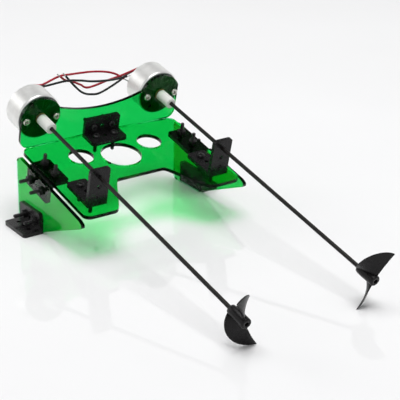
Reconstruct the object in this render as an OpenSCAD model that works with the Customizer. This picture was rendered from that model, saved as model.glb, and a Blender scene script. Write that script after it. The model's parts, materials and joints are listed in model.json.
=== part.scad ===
// Twin-propeller drive unit for a model boat: two small motors on an acrylic frame, each turning
// a long steel shaft with a two-blade propeller.
// Row frame: X to the right seen from the propellers, Y backwards, Z up from the surface it rests on.

/* [Frame] */
// Angle of the base plate, its propeller end lower
tilt = 12.5; // [10:0.1:15]
// Height of the base plate's rear top edge above the ground
base_height = 36; // [34:0.5:40]
// Distance of the base plate's rear edge behind the origin
base_back = 83.4; // [60:0.5:110]
// Width of the base plate
base_w = 92; // [86:1:110]
// Length of the base plate along its slope, rear edge to leg ends
base_l = 65; // [62:1:72]
// Thickness of every acrylic plate
plate_t = 2; // [1.5:0.1:3]
// Depth of the shallow bow of the base plate's rear edge
rear_bow = 2.8; // [1:0.1:4]
// Radius of the base plate's outer corners
corner_r = 4; // [2:0.5:8]
// Radius of the notch's inside corners
notch_r = 3; // [1:0.5:5]
// Half width of the front notch at its back
notch_back = 14.3; // [10:0.1:18]
// Half width of the front notch at the leg ends
notch_front = 27.4; // [20:0.1:30]
// Distance of the notch's back edge from the rear edge
notch_y = 41.3; // [38:0.1:45]
// Radius of the large lightening hole
big_hole_r = 10.6; // [6:0.1:11]
// Radius of each small lightening hole
small_hole_r = 6.6; // [4:0.1:7]

/* [Motor plate] */
// Width of the upright motor plate
motor_plate_w = 94; // [90:1:100]
// Height of the plate's top at the middle of its dip
dip_z = 15.8; // [13:0.1:18]
// Radius of the dip between the two motors
dip_r = 75; // [60:1:100]
// Radius of each rounded lobe that carries a motor
lobe_r = 12; // [11:0.1:13]

/* [Side plates] */
// Gap between the base plate's edge and the side plate
side_gap = 1; // [0.5:0.1:3]
// Length of a side plate from its rear edge to its front tip
side_l = 64; // [60:1:70]
// Length of the side plate's flat bottom edge
side_flat_l = 24; // [22:1:26]
// Height of the front tip's lower corner
side_tip_z = 16; // [14:0.5:17]

/* [Brackets] */
// Length of the brackets' long side
bracket_l = 21; // [20:0.5:24]
// Width of the brackets' short side
bracket_w = 11; // [10:0.5:12]
// Thickness of a bracket leaf
bracket_t = 2; // [1.5:0.1:2.5]
// Distance between neighbouring bracket holes
hole_pitch = 5.4; // [5:0.1:5.6]
// Corner radius of the bracket leaves
bracket_r = 1.6; // [0.5:0.1:2]
// Distance of the side brackets' middle from the rear edge
side_bracket_y = 21.4; // [20:0.1:24]
// Distance of the shaft brackets' front face from the rear edge
shaft_bracket_y = 58.4; // [56:0.1:60]
// Distance of the foot brackets' middle from the rear edge
foot_y = 15.6; // [12:0.1:18]

/* [Fasteners] */
// Radius of the machine screws
screw_r = 1; // [0.9:0.05:1.2]
// Length of the bracket screws under the head
screw_l = 10; // [9:0.5:12]
// Radius of the screw heads
head_r = 1.9; // [1.7:0.1:2.2]
// Height of the screw heads
head_h = 1.3; // [1:0.1:1.6]
// Width of the nuts across their flats
nut_w = 4; // [3.6:0.1:4.5]
// Height of the nuts
nut_h = 1.6; // [1.2:0.1:2]
// Length of the motor screws under the head
motor_screw_l = 3.2; // [2.9:0.1:3.4]

/* [Motors] */
// Distance of each motor's axis from the middle
axis_x = 36; // [35:0.5:38]
// Height of the shaft axes above the base plate
axis_z = 16.2; // [15.9:0.1:16.6]
// Radius of the motor can
can_r = 12.2; // [11.8:0.1:12.4]
// Length of the motor can
can_l = 12.8; // [12:0.1:14]
// Thickness of the can's wall
can_wall = 0.8; // [0.6:0.1:1]
// Radius of the front bearing boss
boss_r = 3.05; // [2.8:0.05:3.2]
// Distance of the motor screws from the motor's axis
motor_screw_x = 8.5; // [8:0.1:9]
// Radius of the rotor
rotor_r = 8.4; // [8:0.1:8.6]

/* [Drive] */
// Radius of the motor shafts and propeller shafts
shaft_r = 1; // [0.95:0.05:1.05]
// Radial clearance of a shaft that runs in a hole
running_gap = 0.05; // [0.02:0.01:0.08]
// Radius of the couplers
coupler_r = 2.9; // [2.8:0.1:3.5]
// Length of the couplers
coupler_l = 10.8; // [9:0.1:12]
// Distance of the propeller nose from the motor plate
nose_y = 178; // [140:1:200]
// Length of the propeller hub
hub_l = 11.5; // [10:0.5:15]
// Radius of the hub at its thickest
hub_r = 2.6; // [2.2:0.1:3.6]
// Radius of the propeller
prop_r = 15.1; // [12:0.1:16]
// Advance of the blades in one turn
prop_pitch = 42; // [36:1:60]
// Angle of each propeller's resting blade tip below the horizontal
blade_rest = 59; // [50:0.5:75]

/* [Hidden] */
$fn = 64;
eps = 0.01;
hole_r = screw_r + 0.1;
side_x = base_w / 2 + side_gap;
side_r = 3;
blade_root_r = 1.8;
blade_stations = 12;
blade_samples = 7;
magnet_gap = 0.7;
brush_gap = 0.06;
commutator_r = 2.2;
end_cap_t = 1.6;
terminal_r = 8;
lead_r = 0.6;
lead_sides = 8;
lead_steps = 2;
tip_r = 0.35;
tip_l = 3;
acrylic = [0.05, 0.72, 0.28, 0.6];
black_plastic = [0.1, 0.1, 0.11];
steel = [0.78, 0.78, 0.76];
dark_steel = [0.26, 0.25, 0.25];

// Lead routes: x, distance behind the base plate's rear edge, height above the ground
left_red_route = [
    [-31.7, 10.4, 63], [-30, 14.5, 63.4], [-23.5, 17.5, 61.8], [-9.5, 24.5, 62], [-1.5, 27, 61],
    [6.5, 29, 60], [13.5, 29, 59.5], [20, 26.5, 59], [25, 24.3, 57.6], [29.5, 22.5, 54.5]
];
left_black_route = [
    [-29, 10.8, 60.9], [-27, 14.3, 62], [-22, 15.8, 61.4], [-9.5, 17, 61.5], [-1, 18, 60],
    [6.5, 19, 58], [13.5, 19, 57], [20.5, 16.8, 57.3], [26, 13.5, 59]
];
right_red_route = [
    [31.7, 11.5, 63], [31.5, 14.5, 61.5], [26, 18.7, 58.2], [18.5, 21, 56], [7, 22.5, 53.5],
    [2, 22.5, 56], [-2.5, 22.5, 58.3], [-7, 22.5, 60], [-10, 22.5, 62.5]
];
right_black_route = [
    [35.7, 10.7, 64.1], [35.5, 14.5, 62.4], [30, 19.5, 58], [25, 21.2, 54], [14.5, 22, 49.5],
    [8.5, 22, 49.5], [3, 21.5, 51.5], [-2, 21, 56], [-8, 20, 63]
];

// ---------------------------------------------------------------- frames of reference

// Base frame: x right, y backwards along the plate, z off the plate's top face
module on_base() {
    translate([0, base_back, base_height]) rotate([tilt, 0, 0]) children();
}

// Level frame with its zero below the base plate's rear edge
module on_ground() {
    translate([0, base_back, 0]) children();
}

// Frame along a shaft: z runs from the motor plate's front face towards the propeller
module on_shaft() {
    on_base() translate([axis_x, 0, axis_z]) rotate([90, 0, 0]) children();
}

// Left copy of something modelled on the right
module left() {
    mirror([1, 0, 0]) children();
}

module cyl(r, from, to) {
    translate([0, 0, from]) cylinder(r = r, h = to - from);
}

// ---------------------------------------------------------------- acrylic plates

// Corners rounded to r, inside corners to inner_r
module rounded(r, inner_r) {
    offset(r = -inner_r) offset(r = inner_r + r) offset(delta = -r) children();
}

// Square-cornered plate with a bowed rear edge and a trapezoid notch between its two front legs
module base_blank() {
    bow_r = (base_w * base_w / 4 + rear_bow * rear_bow) / (2 * rear_bow);
    difference() {
        intersection() {
            translate([-base_w / 2, -base_l]) square([base_w, base_l + rear_bow]);
            translate([0, rear_bow - bow_r]) circle(r = bow_r, $fn = 480);
        }
        polygon([
            [-notch_front, -base_l], [-notch_back, -notch_y], [notch_back, -notch_y],
            [notch_front, -base_l], [notch_front, -base_l - 1], [-notch_front, -base_l - 1]
        ]);
    }
}

module base_outline() {
    difference() {
        rounded(corner_r, notch_r) base_blank();
        translate([0, -22.2]) circle(r = big_hole_r);
        for (side = [-1, 1]) {
            translate([side * 20.6, -16.5]) circle(r = small_hole_r);
            translate([side * hole_pitch, -bracket_w / 2]) circle(r = hole_r);
            for (along = [-1, 1])
                translate([side * (side_x - bracket_w / 2), -side_bracket_y + along * hole_pitch])
                    circle(r = hole_r);
            for (step = [1, 3])
                translate([side * axis_x, -shaft_bracket_y + step * hole_pitch]) circle(r = hole_r);
        }
    }
}

module base_plate() {
    color(acrylic) on_base() translate([0, 0, -plate_t]) linear_extrude(plate_t) base_outline();
}

module motor_plate_outline() {
    foot_r = 5.5;
    half = motor_plate_w / 2;
    shoulder_z = axis_z - 1;
    difference() {
        union() {
            translate([-half, foot_r]) square([motor_plate_w, shoulder_z + 4.5 - foot_r]);
            translate([-half + foot_r, 0]) square([motor_plate_w - 2 * foot_r, foot_r + eps]);
            for (side = [-1, 1]) {
                translate([side * (half - foot_r), foot_r]) circle(r = foot_r);
                intersection() {
                    translate([side * axis_x, shoulder_z]) circle(r = lobe_r);
                    translate([-half, 0]) square([motor_plate_w, 2 * axis_z]);
                }
            }
        }
        translate([0, dip_z + dip_r]) intersection() {
            circle(r = dip_r, $fn = 180);
            translate([-25.2, -dip_r - 1]) square([50.4, 20]);
        }
        for (side = [-1, 1]) {
            translate([side * axis_x, axis_z]) motor_face_holes(boss_r + 0.2, screw_r + 0.1);
            translate([side * hole_pitch, bracket_w / 2]) circle(r = hole_r);
        }
    }
}

// Middle hole and two screw holes of a motor's face
module motor_face_holes(middle_r, fixing_r) {
    circle(r = middle_r);
    for (side = [-1, 1]) translate([side * motor_screw_x, 0]) circle(r = fixing_r);
}

module motor_plate() {
    color(acrylic) on_base() translate([0, plate_t, 0]) rotate([90, 0, 0])
        linear_extrude(plate_t) motor_plate_outline();
}

// Outline in the level frame: first coordinate forwards, second up
module side_plate_outline() {
    top_z = base_height - (plate_t + 0.2) / cos(tilt);
    nose_r = 1.5;
    foot_r = 3.5;
    difference() {
        hull() {
            translate([side_r, top_z - side_r * (1 + sin(tilt))]) circle(r = side_r, $fn = 32);
            translate([foot_r, foot_r]) circle(r = foot_r, $fn = 32);
            translate([side_flat_l, 1]) circle(r = 1, $fn = 32);
            translate([side_l - nose_r, side_tip_z + nose_r + 0.4]) circle(r = nose_r, $fn = 32);
            translate([side_l - 3, top_z - (side_l - 3) * tan(tilt) - nose_r]) circle(r = nose_r, $fn = 32);
        }
        for (along = [-1, 1]) {
            translate([foot_y + along * hole_pitch, bracket_w / 2]) circle(r = hole_r);
            translate([0, base_height]) rotate(-tilt)
                translate([side_bracket_y + along * hole_pitch, -plate_t - bracket_w / 2])
                    circle(r = hole_r);
        }
    }
}

module side_plate() {
    color(acrylic) on_ground() translate([side_x, 0, 0]) rotate([90, 0, -90]) mirror([0, 0, 1])
        linear_extrude(plate_t) side_plate_outline();
}

// ---------------------------------------------------------------- brackets

// Flat leaf from x = 0 to w and y = 0 to l with its two far corners rounded
module leaf_outline(w, l) {
    union() {
        square([w, l - bracket_r]);
        translate([bracket_r, 0]) square([w - 2 * bracket_r, l]);
        for (x = [bracket_r, w - bracket_r]) translate([x, l - bracket_r]) circle(r = bracket_r);
    }
}

// Leaf in the x-z plane, its fold along x, with holes at the given places
module leaf(w, l, holes) {
    translate([-w / 2, bracket_t, 0]) rotate([90, 0, 0]) linear_extrude(bracket_t) difference() {
        leaf_outline(w, l);
        for (h = holes) translate([w / 2 + h[0], h[1]]) circle(r = hole_r);
    }
}

// Angle bracket folded along x: one leaf stands at y = 0 to bracket_t, the other lies towards +y
module angle_bracket(w, l, holes) {
    color(black_plastic) union() {
        leaf(w, l, holes);
        mirror([0, 1, -1]) leaf(w, l, holes);
    }
}

wide_holes = [for (i = [-1, 0, 1]) [i * hole_pitch, bracket_w / 2]];
long_holes = [for (i = [1, 2]) [0, i * hole_pitch]];

module wide_bracket() {
    angle_bracket(bracket_l, bracket_w, wide_holes);
}

module centre_bracket() {
    on_base() rotate([0, 0, 180]) wide_bracket();
}

module side_bracket() {
    on_base() translate([side_x, -side_bracket_y, -plate_t]) rotate([180, 0, -90]) wide_bracket();
}

module foot_bracket() {
    on_ground() translate([side_x + plate_t, -foot_y, 0]) rotate([0, 0, -90]) wide_bracket();
}

// Its standing leaf carries the propeller shaft in a bore at its top
module shaft_bracket() {
    color(black_plastic) on_base() translate([axis_x, -shaft_bracket_y, 0]) difference() {
        union() {
            leaf(bracket_w, bracket_l, long_holes);
            mirror([0, 1, -1]) leaf(bracket_w, bracket_l, [for (i = [1, 2, 3]) [0, i * hole_pitch]]);
        }
        translate([0, bracket_t + 1, axis_z]) rotate([90, 0, 0])
            cylinder(r = shaft_r + running_gap, h = bracket_t + 2);
    }
}

// ---------------------------------------------------------------- fasteners

// Screw along z with its head above z = 0 and its shank below
module screw(length) {
    difference() {
        union() {
            cylinder(r = head_r, h = head_h * 0.55);
            translate([0, 0, head_h * 0.55]) cylinder(r1 = head_r, r2 = head_r * 0.7, h = head_h * 0.45);
            cyl(screw_r, -length, eps);
        }
        for (turn = [0, 90]) rotate([0, 0, turn])
            translate([-head_r * 0.55, -0.18, head_h * 0.5]) cube([head_r * 1.1, 0.36, head_h]);
    }
}

// Nut on a screw, its upper face at z = 0
module nut() {
    difference() {
        translate([0, 0, -nut_h]) cylinder(r = nut_w / 2 / cos(30), h = nut_h, $fn = 6);
        cyl(screw_r, -nut_h - 1, 1);
    }
}

// Places of the centre bracket's four fixings, heads on the bracket's leaves
module centre_places() {
    for (side = [-1, 1]) {
        on_base() translate([side * hole_pitch, -bracket_w / 2, bracket_t]) children();
        on_base() translate([side * hole_pitch, -bracket_t, bracket_w / 2]) rotate([90, 0, 0]) children();
    }
}

module side_places() {
    for (along = [-1, 1]) on_base() translate([side_x, -side_bracket_y + along * hole_pitch, -plate_t]) {
        translate([-bracket_w / 2, 0, -bracket_t]) rotate([180, 0, 0]) children();
        translate([-bracket_t, 0, -bracket_w / 2]) rotate([0, -90, 0]) children();
    }
}

module shaft_bracket_places() {
    for (step = [1, 3])
        on_base() translate([axis_x, -shaft_bracket_y + step * hole_pitch, bracket_t]) children();
}

module foot_places() {
    for (along = [-1, 1]) on_ground()
        translate([side_x, -foot_y + along * hole_pitch, bracket_w / 2]) rotate([0, -90, 0]) children();
}

module black_screws() {
    color(black_plastic) screw(screw_l);
}

// A nut under a stack of a bracket leaf and a plate
module black_nut() {
    color(black_plastic) translate([0, 0, -bracket_t - plate_t]) nut();
}

module centre_screws() {
    centre_places() black_screws();
}

module centre_nuts() {
    centre_places() black_nut();
}

module side_screws() {
    side_places() black_screws();
}

module side_nuts() {
    side_places() black_nut();
}

module shaft_bracket_screws() {
    shaft_bracket_places() black_screws();
}

module shaft_bracket_nuts() {
    shaft_bracket_places() black_nut();
}

module foot_screws() {
    foot_places() black_screws();
}

module foot_nuts() {
    foot_places() black_nut();
}

module motor_screws() {
    color(steel) for (side = [-1, 1])
        on_shaft() translate([side * motor_screw_x, 0, 0]) screw(motor_screw_l);
}

// ---------------------------------------------------------------- motors

// Drawn steel cup, open at the back, with a bearing boss in front
module motor_can() {
    front = -plate_t;
    back = front - can_l;
    color(steel) on_shaft() difference() {
        rotate_extrude() polygon([
            [0, front], [can_r - 1, front], [can_r - 0.3, front - 0.3], [can_r, front - 1],
            [can_r, back + 0.6], [can_r - 0.6, back], [can_r - can_wall - 0.6, back],
            [can_r - can_wall, back + 0.6], [can_r - can_wall, front - can_wall], [0, front - can_wall]
        ]);
        cyl(boss_r, front - can_wall - 1, front + 1);
        for (side = [-1, 1]) translate([side * motor_screw_x, 0, 0])
            cyl(screw_r, front - can_wall - 1, front + 1);
        for (turn = [58, 238]) rotate([0, 0, turn]) translate([8.6, 0, 0])
            cyl(1.1, front - can_wall - 1, front + 1);
    }
}

// Terminal directions differ because the two motors are clamped at different angles
left_terminals = [62, 40];
right_terminals = [88, 62];

// Disc that closes the back of the can and holds the rear bush
module motor_end_cap(terminals) {
    back = -plate_t - can_l;
    color(black_plastic) on_shaft() difference() {
        union() {
            cyl(can_r - can_wall, back + 0.65, back + 0.65 + end_cap_t);
            cyl(3, back - 1, back + 1);
        }
        cyl(2, back - 2, back + end_cap_t + 2);
        for (a = terminals) rotate([0, 0, 180 - a]) translate([terminal_r, -1, back - 1])
            cube([0.5, 2, end_cap_t + 3]);
    }
}

// Two magnet segments on the inside of the can
module motor_magnets() {
    outer = can_r - can_wall;
    inner = rotor_r + magnet_gap;
    color([0.2, 0.2, 0.22]) on_shaft() for (turn = [90, 270]) rotate([0, 0, turn - 50])
        rotate_extrude(angle = 100) translate([inner, -12.2]) square([outer - inner, 8]);
}

// Front bush in the can's boss and rear bush in the end cap
module motor_bushes() {
    back = -plate_t - can_l;
    color([0.72, 0.52, 0.25]) on_shaft() {
        difference() {
            cyl(boss_r, -plate_t - can_wall - 1.2, -0.3);
            cyl(shaft_r + running_gap, -6, 1);
        }
        difference() {
            cyl(2, back - 1, back + 2.2);
            cyl(shaft_r + running_gap, back - 2, back + 3);
        }
    }
}

// Two spring leaves whose pads bear on the commutator
module motor_brushes() {
    back = -plate_t - can_l;
    color([0.8, 0.55, 0.3]) on_shaft() for (side = [-1, 1])
        translate([side * (commutator_r + brush_gap + 0.2), 0, back + 0.65 + end_cap_t + 0.7])
            cube([0.4, 7, 1.4], center = true);
}

module motor_terminals(terminals) {
    back = -plate_t - can_l;
    color([0.75, 0.68, 0.45]) on_shaft() for (a = terminals) rotate([0, 0, 180 - a])
        translate([terminal_r, -1, back - 1.6]) cube([0.5, 2, end_cap_t + 2.6]);
}

// ---------------------------------------------------------------- turning parts

// Axial ends of the rotor core
rotor_front = -4.6;
rotor_back = -9.8;

// Three-pole laminated core
module rotor_core() {
    color([0.45, 0.45, 0.47]) on_shaft() translate([0, 0, rotor_back])
        linear_extrude(rotor_front - rotor_back) difference() {
            union() {
                circle(r = 2.6);
                for (turn = [0, 120, 240]) rotate(turn) {
                    translate([0, -1]) square([rotor_r - 0.6, 2]);
                    intersection() {
                        difference() {
                            circle(r = rotor_r);
                            circle(r = rotor_r - 1.1);
                        }
                        polygon([[0, 0], [12, -14], [12, 14]]);
                    }
                }
            }
            circle(r = shaft_r);
        }
}

// One winding round each pole
module rotor_windings() {
    color([0.75, 0.35, 0.15]) on_shaft() for (turn = [0, 120, 240]) rotate([0, 0, turn]) difference() {
        translate([3.4, -2, rotor_back - 0.9]) cube([3.4, 4, rotor_front - rotor_back + 1.8]);
        translate([2, -1, rotor_back]) cube([6, 2, rotor_front - rotor_back]);
    }
}

module commutator() {
    color([0.75, 0.45, 0.2]) on_shaft() difference() {
        cyl(commutator_r, -12.4, rotor_back - 0.95);
        cyl(shaft_r, -14, -9);
    }
}

module motor_shaft() {
    color(dark_steel) on_shaft() cyl(shaft_r, -plate_t - can_l - 1.4, coupler_l / 2 - 0.2);
}

// Plastic sleeve that joins the motor shaft to the propeller shaft
module coupler() {
    color([0.9, 0.9, 0.88]) on_shaft() rotate_extrude() polygon([
        [shaft_r, 0.4], [coupler_r - 0.3, 0.4], [coupler_r, 0.7], [coupler_r, coupler_l - 0.3],
        [coupler_r - 0.3, coupler_l], [shaft_r, coupler_l]
    ]);
}

module propeller_shaft() {
    color(dark_steel) on_shaft() cyl(shaft_r, coupler_l / 2 + 0.2, nose_y - 1.5);
}

// Axial position of a blade's front edge at share s of its height
function blade_front(s) = nose_y - 0.8 * (1 - s);

// Axial length of a blade at share s of its height
function blade_chord(s) = 0.4 + (10 + 3.5 * s) * pow(1 - s, 0.77);

// Thickness of a blade at share s of its height
function blade_thickness(s) = 1.5 - s;

// Point of a blade: s up the blade, c from front edge to rear edge, face -1 or 1
function blade_point(s, c, face) =
    let (
        r = blade_root_r + (prop_r - blade_root_r) * s,
        helix = atan(prop_pitch / (2 * PI * r)),
        half = face * blade_thickness(s) / 2 * (0.4 + 0.6 * sin(180 * c)),
        along = blade_front(s) - c * blade_chord(s),
        turn = (nose_y - along) * 360 / prop_pitch,
        a = turn + half * sin(helix) / r * 180 / PI,
        z = along + half * cos(helix)
    )
    [r * cos(a), r * sin(a), z];

// Ring of points round the blade's section at share s of its height
function blade_ring(s) = concat(
    [for (j = [0 : blade_samples]) blade_point(s, j / blade_samples, 1)],
    [for (j = [blade_samples : -1 : 0]) blade_point(s, j / blade_samples, -1)]
);

// Blade with its tip at angle 0, twisting as a helix about z
module blade() {
    ring = 2 * (blade_samples + 1);
    shares = [for (i = [0 : blade_stations]) 1 - pow(1 - i / blade_stations, 1.6)];
    points = [for (s = shares) each blade_ring(s)];
    sides = [for (i = [0 : blade_stations - 1], j = [0 : ring - 1])
        let (a = i * ring + j, b = i * ring + (j + 1) % ring)
        each [[a, b, b + ring], [a, b + ring, a + ring]]];
    root = [for (j = [ring - 1 : -1 : 0]) j];
    tip = [for (j = [0 : ring - 1]) blade_stations * ring + j];
    polyhedron(points, concat([root], sides, [tip]), convexity = 6);
}

// Two-blade propeller on a round-nosed hub
module propeller() {
    back = nose_y - hub_l;
    color(black_plastic) on_shaft() difference() {
        union() {
            rotate_extrude() polygon([
                [0, back], [hub_r - 0.5, back], [hub_r - 0.1, back + 1.5], [hub_r, back + 5],
                [hub_r, nose_y - 1.2], [hub_r - 0.25, nose_y - 0.5], [hub_r - 0.8, nose_y], [0, nose_y]
            ]);
            for (turn = [0, 180]) rotate([0, 0, 180 + blade_rest + turn]) blade();
        }
        cyl(shaft_r, back - 1, nose_y + 1);
    }
}

// ---------------------------------------------------------------- leads

// Point on the smooth curve between points i and i + 1 of a route
function curve_point(p, i, t) =
    let (
        n = len(p),
        a = p[max(i - 1, 0)],
        b = p[i],
        c = p[min(i + 1, n - 1)],
        d = p[min(i + 2, n - 1)]
    )
    0.5 * (2 * b + (c - a) * t + (2 * a - 5 * b + 4 * c - d) * t * t
        + (3 * b - a - 3 * c + d) * t * t * t);

function smooth_route(p) = concat(
    [for (i = [0 : len(p) - 2], k = [0 : lead_steps - 1]) curve_point(p, i, k / lead_steps)],
    [p[len(p) - 1]]
);

function unit(v) = v / norm(v);

// Direction of a path at point i
function heading(p, i) = unit(p[min(i + 1, len(p) - 1)] - p[max(i - 1, 0)]);

// Ring of points square to the path at point i
function tube_ring(p, i, r) =
    let (
        d = heading(p, i),
        side = unit(cross(d, [0, 0, 1])),
        up = cross(side, d)
    )
    [for (k = [0 : lead_sides - 1])
        let (a = 360 * k / lead_sides)
        p[i] + r * cos(a) * side + r * sin(a) * up];

module tube(p, r) {
    n = len(p);
    points = [for (i = [0 : n - 1]) each tube_ring(p, i, r)];
    sides = [for (i = [0 : n - 2], k = [0 : lead_sides - 1])
        let (a = i * lead_sides + k, b = i * lead_sides + (k + 1) % lead_sides)
        each [[a, b, b + lead_sides], [a, b + lead_sides, a + lead_sides]]];
    start = [for (k = [lead_sides - 1 : -1 : 0]) k];
    end = [for (k = [0 : lead_sides - 1]) (n - 1) * lead_sides + k];
    polyhedron(points, concat([start], sides, [end]), convexity = 4);
}

module lead(route) {
    on_ground() tube(smooth_route(route), lead_r);
}

// Bare tinned end that carries on past the end of a lead
module lead_end(route) {
    last = route[len(route) - 1];
    path = smooth_route(route);
    d = heading(path, len(path) - 1);
    on_ground() tube([last, last + tip_l * d], tip_r);
}

module lead_ends(routes) {
    color(steel) for (route = routes) lead_end(route);
}

base_plate();
motor_plate();
left() side_plate();  // side_plate_left
side_plate();  // side_plate_right
centre_bracket();
left() side_bracket();  // side_bracket_left
side_bracket();  // side_bracket_right
left() shaft_bracket();  // shaft_bracket_left
shaft_bracket();  // shaft_bracket_right
left() foot_bracket();  // foot_bracket_left
foot_bracket();  // foot_bracket_right
centre_screws();
centre_nuts();
left() side_screws();  // side_screws_left
side_screws();  // side_screws_right
left() side_nuts();  // side_nuts_left
side_nuts();  // side_nuts_right
left() shaft_bracket_screws();  // shaft_bracket_screws_left
shaft_bracket_screws();  // shaft_bracket_screws_right
left() shaft_bracket_nuts();  // shaft_bracket_nuts_left
shaft_bracket_nuts();  // shaft_bracket_nuts_right
left() foot_screws();  // foot_screws_left
foot_screws();  // foot_screws_right
left() foot_nuts();  // foot_nuts_left
foot_nuts();  // foot_nuts_right
left() motor_screws();  // motor_screws_left
motor_screws();  // motor_screws_right
left() motor_can();  // motor_can_left
motor_can();  // motor_can_right
left() motor_end_cap(left_terminals);  // motor_end_cap_left
motor_end_cap(right_terminals);  // motor_end_cap_right
left() motor_magnets();  // motor_magnets_left
motor_magnets();  // motor_magnets_right
left() motor_bushes();  // motor_bushes_left
motor_bushes();  // motor_bushes_right
left() motor_brushes();  // motor_brushes_left
motor_brushes();  // motor_brushes_right
left() motor_terminals(left_terminals);  // motor_terminals_left
motor_terminals(right_terminals);  // motor_terminals_right
left() rotor_core();  // rotor_core_left
rotor_core();  // rotor_core_right
left() rotor_windings();  // rotor_windings_left
rotor_windings();  // rotor_windings_right
left() commutator();  // commutator_left
commutator();  // commutator_right
left() motor_shaft();  // motor_shaft_left
motor_shaft();  // motor_shaft_right
left() coupler();  // coupler_left
coupler();  // coupler_right
left() propeller_shaft();  // propeller_shaft_left
propeller_shaft();  // propeller_shaft_right
left() propeller();  // propeller_left
propeller();  // propeller_right
color([0.6, 0.1, 0.15]) lead(left_red_route);  // red_lead_left
color([0.08, 0.08, 0.08]) lead(left_black_route);  // black_lead_left
color([0.6, 0.1, 0.15]) lead(right_red_route);  // red_lead_right
color([0.08, 0.08, 0.08]) lead(right_black_route);  // black_lead_right
lead_ends([left_red_route, left_black_route]);  // lead_ends_left
lead_ends([right_red_route, right_black_route]);  // lead_ends_right
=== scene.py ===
"""Looks of the twin-propeller drive unit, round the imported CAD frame. All lengths are in metres."""

import json
import math
import random

import bmesh
import bpy
from mathutils import Matrix, Vector


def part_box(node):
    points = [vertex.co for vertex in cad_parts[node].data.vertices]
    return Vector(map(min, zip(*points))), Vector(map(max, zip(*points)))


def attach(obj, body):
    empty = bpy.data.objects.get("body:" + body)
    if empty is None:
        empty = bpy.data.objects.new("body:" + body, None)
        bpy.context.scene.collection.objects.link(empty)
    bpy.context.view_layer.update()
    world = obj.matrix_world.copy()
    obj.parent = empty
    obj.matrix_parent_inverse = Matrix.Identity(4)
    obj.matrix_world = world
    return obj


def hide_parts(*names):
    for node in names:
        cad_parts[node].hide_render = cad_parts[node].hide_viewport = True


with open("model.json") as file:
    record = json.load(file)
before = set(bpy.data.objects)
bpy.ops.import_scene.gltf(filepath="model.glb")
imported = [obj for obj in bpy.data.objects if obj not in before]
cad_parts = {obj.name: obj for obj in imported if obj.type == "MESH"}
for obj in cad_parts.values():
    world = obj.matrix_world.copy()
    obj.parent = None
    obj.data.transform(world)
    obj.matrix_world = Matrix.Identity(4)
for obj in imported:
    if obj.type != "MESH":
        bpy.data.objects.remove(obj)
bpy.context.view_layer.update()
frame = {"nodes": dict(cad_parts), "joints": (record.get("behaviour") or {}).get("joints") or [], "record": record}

MM = 0.001
SIDES = (("left", -1), ("right", 1))
JOINTS = {joint["child"]: joint for joint in frame["joints"]}
SHAFT_DIRECTION = Vector(JOINTS["right_drive"]["axis"]).normalized()
TILT = math.atan2(-SHAFT_DIRECTION.z, -SHAFT_DIRECTION.y)
BASE_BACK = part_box("side_plate_right")[1].y
BASE_HEIGHT = 36 * MM
BRACKET_W = 11 * MM
LEAF_T = 2 * MM
HOLE_PITCH = 5.4 * MM
SIDE_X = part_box("side_plate_right")[0].x
AXIS_X = JOINTS["right_drive"]["pos_m"][0]
AXIS_Z = 16.2 * MM
MOTOR_SCREW_X = 8.5 * MM
SIDE_BRACKET_FORWARD = 21.4 * MM
SHAFT_BRACKET_FORWARD = 58.4 * MM
FOOT_FORWARD = 15.6 * MM

# ---------------------------------------------------------------- helpers


def link(name, data, body):
    """A new object from mesh or curve data, riding on a body."""
    obj = bpy.data.objects.new(name, data)
    bpy.context.scene.collection.objects.link(obj)
    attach(obj, body)
    return obj


def mesh_from(name, verts, faces, smooth_angle=40):
    """A mesh with smooth shading across edges shallower than smooth_angle."""
    mesh = bpy.data.meshes.new(name)
    mesh.from_pydata([tuple(v) for v in verts], [], faces)
    bm = bmesh.new()
    bm.from_mesh(mesh)
    bmesh.ops.remove_doubles(bm, verts=bm.verts, dist=1e-7)
    bmesh.ops.recalc_face_normals(bm, faces=bm.faces)
    for face in bm.faces:
        face.smooth = True
    for edge in bm.edges:
        edge.smooth = not edge.is_manifold or edge.calc_face_angle(0) < math.radians(smooth_angle)
    bm.to_mesh(mesh)
    bm.free()
    return mesh


def on_base(x, forward, up):
    """Point of the base plate's frame: forward along its slope, up off its top face."""
    back = math.cos(TILT) * forward + math.sin(TILT) * up
    height = math.cos(TILT) * up - math.sin(TILT) * forward
    return Vector((x, BASE_BACK - back, BASE_HEIGHT + height))


BASE_UP = on_base(0, 0, 1) - on_base(0, 0, 0)
BASE_FORWARD = on_base(0, 1, 0) - on_base(0, 0, 0)


def grid_faces(rings, across):
    """Quads between closed rings of points."""
    faces = []
    for i in range(rings - 1):
        for j in range(across):
            k = (j + 1) % across
            faces.append((i * across + j, i * across + k, (i + 1) * across + k, (i + 1) * across + j))
    return faces


def capped(rings, across):
    """Quads between closed rings, with a face over each end."""
    last = (rings - 1) * across
    ends = [tuple(range(across - 1, -1, -1)), tuple(range(last, last + across))]
    return grid_faces(rings, across) + ends


# ---------------------------------------------------------------- camera

CAMERA_SPOT = Vector((-0.3303, BASE_BACK - 0.5532, 0.2738))
CAMERA_RIGHT = Vector((0.8170, -0.5764, 0.0164)).normalized()
CAMERA_LOOK = Vector((0.5351, 0.7473, -0.3940)).normalized()

camera_data = bpy.data.cameras.new("camera")
camera_data.lens = 117.05
camera_data.sensor_width = 36
camera_data.clip_start = 0.01
camera = bpy.data.objects.new("camera", camera_data)
bpy.context.scene.collection.objects.link(camera)
camera_up = CAMERA_RIGHT.cross(CAMERA_LOOK).normalized()
camera.matrix_world = Matrix.Translation(CAMERA_SPOT) @ Matrix(
    (CAMERA_RIGHT, camera_up, -CAMERA_LOOK)
).transposed().to_4x4()
bpy.context.scene.camera = camera

# ---------------------------------------------------------------- materials

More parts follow.
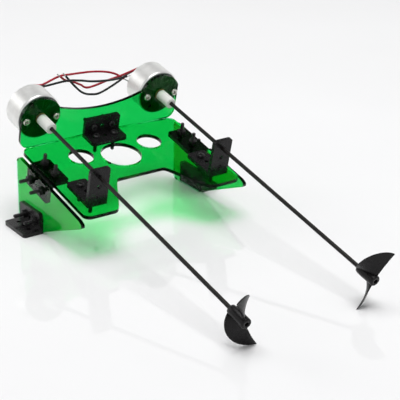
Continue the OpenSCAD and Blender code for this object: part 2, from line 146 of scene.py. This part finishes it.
# Noise hardly leaves these bounds, so they stand for its full spread
NOISE_LOW, NOISE_HIGH = 0.3, 0.7
PLATE_IOR = 1.25
PLATE_ABSORPTION_PER_M = 2000
PLATE_UNABSORBED = (0.0, 0.885, 0.51, 1)
PLATE_SHADOW = (0.66, 0.80, 0.72, 1)


class Shader:
    """A node material with one Principled shader and short helpers for its texture nodes."""

    def __init__(self, name):
        self.material = bpy.data.materials.new(name)
        self.material.use_nodes = True
        self.nodes = self.material.node_tree.nodes
        self.links = self.material.node_tree.links
        self.shader = self.nodes["Principled BSDF"]
        self.output = self.nodes["Material Output"]
        self.place = self.nodes.new("ShaderNodeTexCoord").outputs["Object"]

    def set(self, **values):
        for name, value in values.items():
            self.shader.inputs[name.replace("_", " ")].default_value = value

    def mapping(self, scale=(1, 1, 1), rotation=(0, 0, 0)):
        node = self.nodes.new("ShaderNodeMapping")
        node.inputs["Scale"].default_value = scale
        node.inputs["Rotation"].default_value = rotation
        self.links.new(self.place, node.inputs["Vector"])
        return node.outputs["Vector"]

    def noise(self, scale, detail=4, stretch=(1, 1, 1), rotation=(0, 0, 0)):
        node = self.nodes.new("ShaderNodeTexNoise")
        node.inputs["Scale"].default_value = scale
        node.inputs["Detail"].default_value = detail
        self.links.new(self.mapping(stretch, rotation), node.inputs["Vector"])
        return node.outputs["Fac"]

    def tones(self, source, dark, light, low=NOISE_LOW, high=NOISE_HIGH):
        node = self.nodes.new("ShaderNodeValToRGB")
        elements = node.color_ramp.elements
        for element, place, colour in zip(elements, (low, high), (dark, light)):
            element.position = place
            element.color = (*colour, 1)
        self.links.new(source, node.inputs["Fac"])
        return node.outputs["Color"]

    def spread(self, source, low, high):
        node = self.nodes.new("ShaderNodeMapRange")
        node.inputs["From Min"].default_value = NOISE_LOW
        node.inputs["From Max"].default_value = NOISE_HIGH
        node.inputs["To Min"].default_value = low
        node.inputs["To Max"].default_value = high
        self.links.new(source, node.inputs["Value"])
        return node.outputs["Result"]

    def feed(self, source, name):
        self.links.new(source, self.shader.inputs[name])

    def bump(self, source, distance, strength=1.0):
        node = self.nodes.new("ShaderNodeBump")
        node.inputs["Distance"].default_value = distance
        node.inputs["Strength"].default_value = strength
        self.links.new(source, node.inputs["Height"])
        self.links.new(node.outputs["Normal"], self.shader.inputs["Normal"])


# Depth that the painted shade on a motor's front face reaches back round its corner, and where it starts to fade
PAINTED_SHADE_FADE = (0.3 * MM, 0.1 * MM)


def moulded(name, dark, light, rough_low, rough_high, grain=900, depth=0.00001):
    """Plastic or a dark coating: slight mottle of colour, uneven gloss and a fine surface ripple."""
    m = Shader(name)
    m.feed(m.tones(m.noise(grain / 6), dark, light), "Base Color")
    m.feed(m.spread(m.noise(grain / 2, 6), rough_low, rough_high), "Roughness")
    m.bump(m.noise(grain, 3), depth, 0.5)
    m.set(IOR=1.45, Specular_IOR_Level=0.25)
    return m


def turned_metal(name, dark, light, rough_low, rough_high, along=4000, depth=0.000004):
    """Metal with fine marks square to the shafts, blotches of tone and uneven polish."""
    m = Shader(name)
    marks = m.noise(1, 3, (12, along, 12), (TILT, 0, 0))
    m.feed(m.tones(m.noise(220, 5), dark, light), "Base Color")
    m.feed(m.spread(marks, rough_low, rough_high), "Roughness")
    m.bump(marks, depth, 0.6)
    m.set(Metallic=1.0)
    return m


def motor_can():
    """Drawn steel, bright round the side, with painted shade on the face against the plate: dull and dark there,
    where shade falls.
    """
    m = turned_metal("drawn_steel", (0.74, 0.74, 0.72), (0.86, 0.86, 0.84), 0.28, 0.42, 1800, 0.000004)
    m.set(Metallic=0.6)
    along = m.nodes.new("ShaderNodeVectorMath")
    along.operation = "DOT_PRODUCT"
    along.inputs[1].default_value = SHAFT_DIRECTION
    m.links.new(m.place, along.inputs[0])
    # Mask of the front face against the plate, which gets the painted shade
    face = m.nodes.new("ShaderNodeMapRange")
    front = Vector(JOINTS["right_drive"]["pos_m"]).dot(SHAFT_DIRECTION) - LEAF_T
    face.inputs["From Min"].default_value = front - PAINTED_SHADE_FADE[0]
    face.inputs["From Max"].default_value = front - PAINTED_SHADE_FADE[1]
    m.links.new(along.outputs["Value"], face.inputs["Value"])
    # Painted shade: a dark, dull grey copy of the steel, laid on the front face where the plate shades it
    painted_shade_face = m.nodes.new("ShaderNodeBsdfPrincipled")
    painted_shade_face.inputs["Roughness"].default_value = 0.5
    painted_shade_face.inputs["Metallic"].default_value = 0.3
    # Uneven dark tones of the painted shade on the front face
    mottle = m.tones(m.noise(300, 5), (0.10, 0.10, 0.11), (0.17, 0.17, 0.18))
    m.links.new(mottle, painted_shade_face.inputs["Base Color"])
    both = m.nodes.new("ShaderNodeMixShader")
    m.links.new(face.outputs["Result"], both.inputs["Fac"])
    m.links.new(m.shader.outputs["BSDF"], both.inputs[1])
    m.links.new(painted_shade_face.outputs["BSDF"], both.inputs[2])
    m.links.new(both.outputs["Shader"], m.output.inputs["Surface"])
    return m


def acrylic():
    """Clear green sheet: light is absorbed inside it, so its edges go dark, and its shadow is green."""
    m = Shader("green_acrylic")
    m.feed(m.tones(m.noise(60, 2), (0.90, 1.0, 0.93), (0.96, 1.0, 0.97)), "Base Color")
    m.feed(m.spread(m.noise(400, 6), 0.0, 0.035), "Roughness")
    m.bump(m.noise(90, 2), 0.00002, 0.25)
    m.set(IOR=PLATE_IOR, Transmission_Weight=1.0)
    depths = m.nodes.new("ShaderNodeVolumeAbsorption")
    depths.inputs["Color"].default_value = PLATE_UNABSORBED
    depths.inputs["Density"].default_value = PLATE_ABSORPTION_PER_M
    m.links.new(depths.outputs["Volume"], m.output.inputs["Volume"])
    clear = m.nodes.new("ShaderNodeBsdfTransparent")
    clear.inputs["Color"].default_value = PLATE_SHADOW
    path = m.nodes.new("ShaderNodeLightPath")
    both = m.nodes.new("ShaderNodeMixShader")
    m.links.new(path.outputs["Is Shadow Ray"], both.inputs["Fac"])
    m.links.new(m.shader.outputs["BSDF"], both.inputs[1])
    m.links.new(clear.outputs["BSDF"], both.inputs[2])
    m.links.new(both.outputs["Shader"], m.output.inputs["Surface"])
    return m


def black_oxide():
    """Oiled black steel of the screws and nuts."""
    m = Shader("black_oxide")
    mottle = m.tones(m.noise(700, 5), (0.010, 0.010, 0.011), (0.035, 0.034, 0.034))
    m.feed(mottle, "Base Color")
    m.feed(m.spread(m.noise(1500, 4), 0.22, 0.42), "Roughness")
    m.bump(m.noise(2500, 3), 0.000008, 0.5)
    m.set(Metallic=0.6)
    return m


def wound_copper():
    m = Shader("enamelled_copper")
    wires = m.noise(1, 2, (3000, 3000, 3000))
    m.feed(m.tones(wires, (0.22, 0.06, 0.02), (0.62, 0.24, 0.09), 0.35, 0.65), "Base Color")
    m.feed(m.spread(wires, 0.2, 0.4), "Roughness")
    m.bump(wires, 0.00008, 0.8)
    m.set(Metallic=0.8)
    return m


def lead_sleeve(name, dark, light):
    m = moulded(name, dark, light, 0.28, 0.42, 1400, 0.000012)
    m.set(Subsurface_Weight=0.03, Subsurface_Scale=0.0005)
    return m


MATERIALS = {
    "acrylic": acrylic(),
    "brackets": moulded(
        "black_bracket", (0.005, 0.005, 0.005), (0.010, 0.009, 0.010), 0.20, 0.32, 2600, 0.000002
    ),
    "propellers": moulded(
        "black_propeller", (0.004, 0.004, 0.004), (0.008, 0.007, 0.008), 0.24, 0.36, 2600, 0.000002
    ),
    "black_fasteners": black_oxide(),
    "motor_screws": turned_metal("bright_zinc", (0.42, 0.41, 0.37), (0.62, 0.60, 0.55), 0.15, 0.3, 900),
    "cans": motor_can(),
    "end_caps": moulded("cap_plastic", (0.012, 0.012, 0.013), (0.03, 0.03, 0.032), 0.35, 0.5),
    "magnets": moulded("ferrite", (0.05, 0.05, 0.055), (0.10, 0.10, 0.105), 0.6, 0.8, 1800, 0.00003),
    "bushes": turned_metal("sintered_bronze", (0.42, 0.28, 0.12), (0.66, 0.47, 0.24), 0.3, 0.5, 1500),
    "brushes": turned_metal("spring_copper", (0.55, 0.30, 0.14), (0.74, 0.46, 0.25), 0.25, 0.4, 1500),
    "terminals": turned_metal("tinned_brass", (0.60, 0.54, 0.38), (0.78, 0.73, 0.55), 0.25, 0.4, 1500),
    "laminations": turned_metal(
        "laminated_steel", (0.26, 0.26, 0.28), (0.42, 0.42, 0.44), 0.3, 0.5, 2500, 0.00003
    ),
    "windings": wound_copper(),
    "commutators": turned_metal("copper_segments", (0.50, 0.26, 0.11), (0.70, 0.40, 0.20), 0.2, 0.35, 3000),
    "shafts": moulded("dark_rod", (0.006, 0.005, 0.005), (0.014, 0.012, 0.011), 0.26, 0.38, 1600, 0.000002),
    "couplers": moulded("nylon", (0.70, 0.70, 0.66), (0.80, 0.80, 0.77), 0.35, 0.5, 1000, 0.00002),
    "red_leads": lead_sleeve("red_sleeve", (0.34, 0.012, 0.025), (0.46, 0.03, 0.045)),
    "black_leads": lead_sleeve("black_sleeve", (0.012, 0.012, 0.013), (0.028, 0.028, 0.030)),
    "tinned_ends": turned_metal("solder", (0.52, 0.52, 0.52), (0.76, 0.76, 0.75), 0.2, 0.4, 1200),
}


def paint(obj, slot):
    obj.data.materials.clear()
    obj.data.materials.append(MATERIALS[slot].material)


# ---------------------------------------------------------------- leads

# x, distance behind the base plate's rear edge, height above the ground
ROUTES = {
    "red_lead_left": [
        (-0.0317, 0.0104, 0.0630), (-0.0300, 0.0145, 0.0634), (-0.0235, 0.0175, 0.0618),
        (-0.0095, 0.0245, 0.0620), (-0.0015, 0.0270, 0.0610), (0.0065, 0.0290, 0.0600),
        (0.0135, 0.0290, 0.0595), (0.0200, 0.0265, 0.0590), (0.0250, 0.0243, 0.0576),
        (0.0295, 0.0225, 0.0545),
    ],
    "black_lead_left": [
        (-0.0290, 0.0108, 0.0609), (-0.0270, 0.0143, 0.0620), (-0.0220, 0.0158, 0.0614),
        (-0.0095, 0.0170, 0.0615), (-0.0010, 0.0180, 0.0600), (0.0065, 0.0190, 0.0580),
        (0.0135, 0.0190, 0.0570), (0.0205, 0.0168, 0.0573), (0.0260, 0.0135, 0.0590),
    ],
    "red_lead_right": [
        (0.0317, 0.0115, 0.0630), (0.0315, 0.0145, 0.0615), (0.0260, 0.0187, 0.0582),
        (0.0185, 0.0210, 0.0560), (0.0070, 0.0225, 0.0535), (0.0020, 0.0225, 0.0560),
        (-0.0025, 0.0225, 0.0583), (-0.0070, 0.0225, 0.0600), (-0.0100, 0.0225, 0.0625),
    ],
    "black_lead_right": [
        (0.0357, 0.0107, 0.0641), (0.0355, 0.0145, 0.0624), (0.0300, 0.0195, 0.0580),
        (0.0250, 0.0212, 0.0540), (0.0145, 0.0220, 0.0495), (0.0085, 0.0220, 0.0495),
        (0.0030, 0.0215, 0.0515), (-0.0020, 0.0210, 0.0560), (-0.0080, 0.0200, 0.0630),
    ],
}
LEAD_R = 0.6 * MM
TIP_R = 0.33 * MM
TIP_L = 2.9 * MM
STRANDS = 7
STRAND_TWIST = 5


def smooth_route(points, steps):
    """The same Catmull-Rom curve that the CAD leads follow, in finer steps."""
    points = [Vector((x, BASE_BACK + back, z)) for x, back, z in points]
    last = len(points) - 1
    path = []
    for i in range(last):
        a, b, c, d = (points[min(max(k, 0), last)] for k in (i - 1, i, i + 1, i + 2))
        for step in range(steps):
            t = step / steps
            path.append(
                0.5 * (2 * b + (c - a) * t + (2 * a - 5 * b + 4 * c - d) * t * t
                       + (3 * b - a - 3 * c + d) * t * t * t)
            )
    return path + [points[last]]


def tube(path, radius_at, around):
    """Points and faces of a tube whose radius is radius_at(share of length, angle)."""
    verts = []
    side = None
    for i, point in enumerate(path):
        ahead = (path[min(i + 1, len(path) - 1)] - path[max(i - 1, 0)]).normalized()
        side = ahead.orthogonal() if side is None else side - ahead * side.dot(ahead)
        side.normalize()
        up = ahead.cross(side)
        for j in range(around):
            angle = 2 * math.pi * j / around
            r = radius_at(i / (len(path) - 1), angle)
            verts.append(point + side * r * math.cos(angle) + up * r * math.sin(angle))
    return verts, capped(len(path), around)


def make_lead(name, points):
    """A smooth sleeve with a bare twisted end."""
    colour, _, side = name.split("_")
    slot = f"{colour}_leads"
    path = smooth_route(points, 8)
    verts, faces = tube(path, lambda share, angle: LEAD_R * 0.99, 16)
    lead = link(f"{name}_sleeve", mesh_from(name, verts, faces), "frame")
    paint(lead, slot)
    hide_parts(name)

    ahead = (path[-1] - path[-2]).normalized()
    end = [path[-1] + ahead * TIP_L * i / 24 for i in range(-2, 25)]

    def strand(share, angle):
        twist = math.cos(STRANDS * (angle + STRAND_TWIST * share))
        return TIP_R * (0.86 + 0.14 * twist) * (0.55 + 0.45 * math.sqrt(max(0, 1 - share**8)))

    verts, faces = tube(end, strand, 42)
    tip = link(f"{name}_end", mesh_from(f"{name}_end", verts, faces), "frame")
    paint(tip, "tinned_ends")
    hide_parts(f"lead_ends_{side}")
    return path[0]


lead_starts = {name: make_lead(name, points) for name, points in ROUTES.items()}

# ---------------------------------------------------------------- CAD nodes

SOFT_EDGES = {
    "acrylic": 0.18 * MM, "brackets": 0.22 * MM, "black_fasteners": 0.06 * MM,
    "couplers": 0.45 * MM, "end_caps": 0.1 * MM, "cans": 0.25 * MM,
}


def smooth_by_angle(name, limit):
    """A modifier group that joins vertices and shades smooth across edges shallower than limit."""
    group = bpy.data.node_groups.new(name, "GeometryNodeTree")
    group.interface.new_socket("Geometry", in_out="INPUT", socket_type="NodeSocketGeometry")
    group.interface.new_socket("Geometry", in_out="OUTPUT", socket_type="NodeSocketGeometry")
    nodes, links = group.nodes, group.links
    source, result = nodes.new("NodeGroupInput"), nodes.new("NodeGroupOutput")
    merge = nodes.new("GeometryNodeMergeByDistance")
    merge.inputs["Distance"].default_value = 1e-6
    faces = nodes.new("GeometryNodeSetShadeSmooth")
    edges = nodes.new("GeometryNodeSetShadeSmooth")
    edges.domain = "EDGE"
    edges.inputs["Shade Smooth"].default_value = False
    angle = nodes.new("GeometryNodeInputMeshEdgeAngle")
    steep = nodes.new("FunctionNodeCompare")
    steep.data_type = "FLOAT"
    steep.operation = "GREATER_THAN"
    steep.inputs[1].default_value = limit
    links.new(source.outputs[0], merge.inputs["Geometry"])
    links.new(merge.outputs["Geometry"], faces.inputs["Geometry"])
    links.new(faces.outputs["Geometry"], edges.inputs["Geometry"])
    links.new(angle.outputs["Unsigned Angle"], steep.inputs[0])
    links.new(steep.outputs["Result"], edges.inputs["Selection"])
    links.new(edges.outputs["Geometry"], result.inputs[0])
    return group


SMOOTHER = smooth_by_angle("smooth_most", math.radians(32))
CAN_SMOOTHER = smooth_by_angle("smooth_cans", math.radians(18))


def finish_node(obj, slot):
    """Material, smooth shading and softened edges on a CAD node."""
    paint(obj, slot)
    normals = obj.data.attributes.get("custom_normal")
    if normals:
        obj.data.attributes.remove(normals)
    obj.modifiers.new("smooth", "NODES").node_group = CAN_SMOOTHER if slot == "cans" else SMOOTHER
    if slot in SOFT_EDGES:
        bevel = obj.modifiers.new("soft edges", "BEVEL")
        bevel.width = SOFT_EDGES[slot]
        bevel.segments = 2
        bevel.limit_method = "ANGLE"
        bevel.angle_limit = math.radians(20 if slot == "cans" else 35)
        bevel.harden_normals = True


for part in frame["record"]["subparts"]:
    finish_node(frame["nodes"][part["node"]], part["material_slot"])

# ---------------------------------------------------------------- propellers

NOSE = 178 * MM
HUB_L = 11.5 * MM
PROP_R = 15.1 * MM
BLADE_ROOT = 1.8 * MM
PITCH = 42 * MM
BLADE_REST = math.radians(59)
STATIONS = 30
SAMPLES = 18


def round_edge(share):
    """Half thickness factor that closes to a round at both edges of a blade."""
    near = min(share, 1 - share) / 0.05
    body = 0.4 + 0.6 * math.sin(math.pi * share)
    return body * (math.sqrt(1 - (1 - near) ** 2) if near < 1 else 1)


def blade_point(share, chord_share, face):
    """Point on a blade, measured from the nose: share of its height, share of its chord, face 1 or -1."""
    r = BLADE_ROOT + (PROP_R - BLADE_ROOT) * share
    helix = math.atan(PITCH / (2 * math.pi * r))
    chord = (0.4 + (10 + 3.5 * share) * (1 - share) ** 0.77) * MM
    half = face * (1.5 - share) * MM / 2 * round_edge(chord_share)
    along = -0.8 * MM * (1 - share) - chord_share * chord
    angle = -along * 2 * math.pi / PITCH + half * math.sin(helix) / r
    return r, angle, along + half * math.cos(helix)


def blade_mesh(turn):
    """Rings of points up one blade, as x across, y up and z towards the nose."""
    verts = []
    cosine = [0.5 - 0.5 * math.cos(math.pi * j / SAMPLES) for j in range(SAMPLES + 1)]
    for i in range(STATIONS + 1):
        share = 1 - (1 - i / STATIONS) ** 1.6
        ring = [(c, 1) for c in cosine] + [(c, -1) for c in reversed(cosine[1:-1])]
        for chord_share, face in ring:
            r, angle, along = blade_point(share, chord_share, face)
            verts.append((r * math.cos(angle + turn), r * math.sin(angle + turn), along))
    return verts, capped(STATIONS + 1, 2 * SAMPLES)


def revolve(profile, around):
    """Closed ring of (radius, height) points turned about z."""
    verts = []
    for radius, height in profile:
        for j in range(around):
            angle = 2 * math.pi * j / around
            verts.append((radius * math.cos(angle), radius * math.sin(angle), height))
    faces = grid_faces(len(profile), around)
    last = (len(profile) - 1) * around
    for j in range(around):
        k = (j + 1) % around
        faces.append((last + j, last + k, k, j))
    return verts, faces


def hub_profile():
    """Round-nosed sleeve with a bore, as (radius, height) in metres from the nose."""
    rear = [(1.0, -HUB_L / MM), (2.0, -HUB_L / MM), (2.25, -HUB_L / MM + 0.15), (2.5, -HUB_L / MM + 1.5)]
    middle = [(2.58, -HUB_L / MM + 3), (2.6, -HUB_L / MM + 5), (2.6, -1.6)]
    turns = (0.15, 0.4, 0.7, 1.0, 1.3, 1.55)
    nose = [(2.6 - 0.8 * (1 - math.cos(a)), -0.8 + 0.8 * math.sin(a)) for a in turns]
    bore = [(1.25, 0.0), (1.0, -0.2)]
    return [(r * MM, z * MM) for r, z in rear + middle + nose + bore]


def make_propeller(side, sign):
    joint = JOINTS[f"{side}_drive"]
    nose = Vector(joint["pos_m"]) + SHAFT_DIRECTION * NOSE
    across = Vector((sign, 0, 0))
    up = SHAFT_DIRECTION.cross(Vector((1, 0, 0)))
    verts, faces = [], []
    parts = [revolve(hub_profile(), 56)]
    parts += [blade_mesh(math.pi + BLADE_REST + turn) for turn in (0, math.pi)]
    for points, quads in parts:
        faces += [tuple(len(verts) + k for k in quad) for quad in quads]
        verts += [nose + across * x + up * y + SHAFT_DIRECTION * z for x, y, z in points]
    mesh = mesh_from(f"propeller_{side}_skin", verts, faces, 50)
    piece = link(f"propeller_{side}_skin", mesh, f"{side}_drive")
    paint(piece, "propellers")
    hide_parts(f"propeller_{side}")


for side, sign in SIDES:
    make_propeller(side, sign)

# ---------------------------------------------------------------- screws

SCREW_R = 1.0 * MM
HEAD_R = 1.9 * MM
HEAD_H = 1.3 * MM
THREAD_PITCH = 0.4 * MM
THREAD_DEPTH = 0.17 * MM
THREAD_AROUND = 16
STEPS_PER_TURN = 6
SCREW_L = 10 * MM
MOTOR_SCREW_L = 3.2 * MM
RECESS_DEPTH = 0.85 * MM
HEAD_AROUND = 48


def recess(x, y):
    """Depth of the cross-shaped driver recess at a point of a head."""
    depth = 0
    for a, b in ((abs(x), abs(y)), (abs(y), abs(x))):
        wall = min(1, max(0, (0.26 * MM - a) / (0.1 * MM)))
        end = min(1, max(0, (1.1 * MM - b) / (0.25 * MM)))
        depth = max(depth, RECESS_DEPTH * wall * end)
    return depth


def screw_parts(length):
    """A screw along z: head above zero, threaded shank below."""
    verts, rings = [], 0
    head = [(0.98, 0.0), (1.0, 0.06), (1.0, 0.5), (0.97, 0.68), (0.9, 0.82), (0.8, 0.92)]
    head += [(share, 1.0 - 0.1 * share**2) for share in (0.7, 0.62, 0.56, 0.5, 0.42, 0.34, 0.26, 0.2)]
    head += [(share, 1.0) for share in (0.14, 0.08, 0.02)]
    for share, height in head:
        for j in range(HEAD_AROUND):
            angle = 2 * math.pi * j / HEAD_AROUND
            x, y = share * HEAD_R * math.cos(angle), share * HEAD_R * math.sin(angle)
            sink = recess(x, y) if share < 0.75 else 0
            verts.append((x, y, height * HEAD_H - sink))
        rings += 1
    faces = capped(rings, HEAD_AROUND)
    start = len(verts)
    rings = int(length / THREAD_PITCH * STEPS_PER_TURN)
    for i in range(rings + 1):
        z = -length * i / rings
        for j in range(THREAD_AROUND):
            turn = j / THREAD_AROUND
            wave = abs(((-z / THREAD_PITCH + turn) % 1) * 2 - 1)
            point = min(1, max(0, (length + z) / (0.35 * MM)))
            r = (SCREW_R - THREAD_DEPTH * wave) * (0.75 + 0.25 * point)
            angle = 2 * math.pi * turn
            verts.append((r * math.cos(angle), r * math.sin(angle), z))
    faces += [tuple(start + k for k in face) for face in capped(rings + 1, THREAD_AROUND)]
    return verts, faces


def centre_places():
    for sign in (-1, 1):
        yield on_base(sign * HOLE_PITCH, BRACKET_W / 2, LEAF_T), BASE_UP
        yield on_base(sign * HOLE_PITCH, LEAF_T, BRACKET_W / 2), BASE_FORWARD


def side_places():
    for step in (-1, 1):
        forward = SIDE_BRACKET_FORWARD + step * HOLE_PITCH
        yield on_base(SIDE_X - BRACKET_W / 2, forward, -2 * LEAF_T), -BASE_UP
        yield on_base(SIDE_X - LEAF_T, forward, -LEAF_T - BRACKET_W / 2), Vector((-1, 0, 0))


def shaft_bracket_places():
    for step in (1, 3):
        yield on_base(AXIS_X, SHAFT_BRACKET_FORWARD - step * HOLE_PITCH, LEAF_T), BASE_UP


def foot_places():
    for step in (-1, 1):
        back = BASE_BACK - FOOT_FORWARD - step * HOLE_PITCH
        yield Vector((SIDE_X, back, BRACKET_W / 2)), Vector((-1, 0, 0))


def motor_places():
    for sign in (-1, 1):
        yield on_base(AXIS_X + sign * MOTOR_SCREW_X, 0, AXIS_Z), BASE_FORWARD


def make_screws(node, places, length, slot, sign=1):
    """One piece with a screw at each place, mirrored for the left side."""
    verts, faces = [], []
    shape, quads = screw_parts(length)
    for spot, out in places:
        spot = Vector((sign * spot.x, spot.y, spot.z))
        out = Vector((sign * out.x, out.y, out.z)).normalized()
        turn = Matrix.Rotation(random.uniform(0, math.pi), 3, "Z")
        across = out.orthogonal().normalized()
        axes = Matrix((across, out.cross(across), out)).transposed() @ turn
        faces += [tuple(len(verts) + k for k in quad) for quad in quads]
        verts += [spot + axes @ Vector(v) for v in shape]
    piece = link(f"{node}_threaded", mesh_from(node, verts, faces, 50), "frame")
    paint(piece, slot)
    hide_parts(node)


random.seed(4)
make_screws("centre_screws", centre_places(), SCREW_L, "black_fasteners")
for side, sign in SIDES:
    make_screws(f"side_screws_{side}", side_places(), SCREW_L, "black_fasteners", sign)
    make_screws(f"shaft_bracket_screws_{side}", shaft_bracket_places(), SCREW_L, "black_fasteners", sign)
    make_screws(f"foot_screws_{side}", foot_places(), SCREW_L, "black_fasteners", sign)
    make_screws(f"motor_screws_{side}", motor_places(), MOTOR_SCREW_L, "motor_screws", sign)

# ---------------------------------------------------------------- solder joints


SOLDER_R = 0.8 * MM


def make_solder(name, spot):
    """A small uneven blob where a lead meets its motor terminal."""
    bm = bmesh.new()
    bmesh.ops.create_icosphere(bm, subdivisions=3, radius=SOLDER_R)
    for vert in bm.verts:
        lump = 1 + 0.12 * math.sin(2600 * vert.co.x + 900) * math.cos(2100 * vert.co.z)
        vert.co = Vector((vert.co.x * lump, vert.co.y * 1.25 * lump, vert.co.z * 0.8 * lump))
        vert.co += spot
    for face in bm.faces:
        face.smooth = True
    mesh = bpy.data.meshes.new(name)
    bm.to_mesh(mesh)
    bm.free()
    paint(link(name, mesh, "frame"), "tinned_ends")


for name, spot in lead_starts.items():
    make_solder(f"{name}_solder", spot)

# ---------------------------------------------------------------- stage


def make_floor():
    mesh = bpy.data.meshes.new("floor")
    mesh.from_pydata([(-4, -4, 0), (4, -4, 0), (4, 4, 0), (-4, 4, 0)], [], [(0, 1, 2, 3)])
    floor = bpy.data.objects.new("floor", mesh)
    bpy.context.scene.collection.objects.link(floor)
    m = Shader("pale_floor")
    m.feed(m.tones(m.noise(6, 3), (0.90, 0.90, 0.905), (0.92, 0.92, 0.925)), "Base Color")
    m.feed(m.spread(m.noise(30, 3), 0.02, 0.035), "Roughness")
    m.set(IOR=1.45)
    mesh.materials.append(m.material)


def make_light(name, spot, size, power, aim):
    data = bpy.data.lights.new(name, "AREA")
    data.shape = "RECTANGLE"
    data.size, data.size_y = size
    data.energy = power
    lamp = bpy.data.objects.new(name, data)
    lamp.location = spot
    lamp.rotation_euler = (Vector(aim) - Vector(spot)).to_track_quat("-Z", "Y").to_euler()
    bpy.context.scene.collection.objects.link(lamp)


def make_sky():
    """White surroundings up to about 30 degrees, and a dim ceiling that blacks and gloss reflect."""
    world = bpy.data.worlds.new("studio")
    world.use_nodes = True
    nodes, links = world.node_tree.nodes, world.node_tree.links
    place = nodes.new("ShaderNodeTexCoord")
    split = nodes.new("ShaderNodeSeparateXYZ")
    ramp = nodes.new("ShaderNodeValToRGB")
    ramp.color_ramp.elements[0].color = (1, 1, 1, 1)
    ramp.color_ramp.elements[0].position = 0.45
    ramp.color_ramp.elements[1].color = (0.13, 0.13, 0.135, 1)
    ramp.color_ramp.elements[1].position = 0.62
    links.new(place.outputs["Generated"], split.inputs["Vector"])
    links.new(split.outputs["Z"], ramp.inputs["Fac"])
    links.new(ramp.outputs["Color"], nodes["Background"].inputs["Color"])
    nodes["Background"].inputs["Strength"].default_value = 0.8
    bpy.context.scene.world = world


make_floor()
make_light("key", (0.0, 0.05, 1.7), (1.1, 1.1), 23, (0, 0, 0))
make_light("back", (-1.3, 2.2, 1.4), (1.5, 1.2), 10, (0, 0, 0))
make_light("fill", (-0.6, -1.9, 1.6), (1.8, 1.8), 5, (0, 0, 0))
make_sky()
bpy.context.scene.view_settings.view_transform = "Standard"
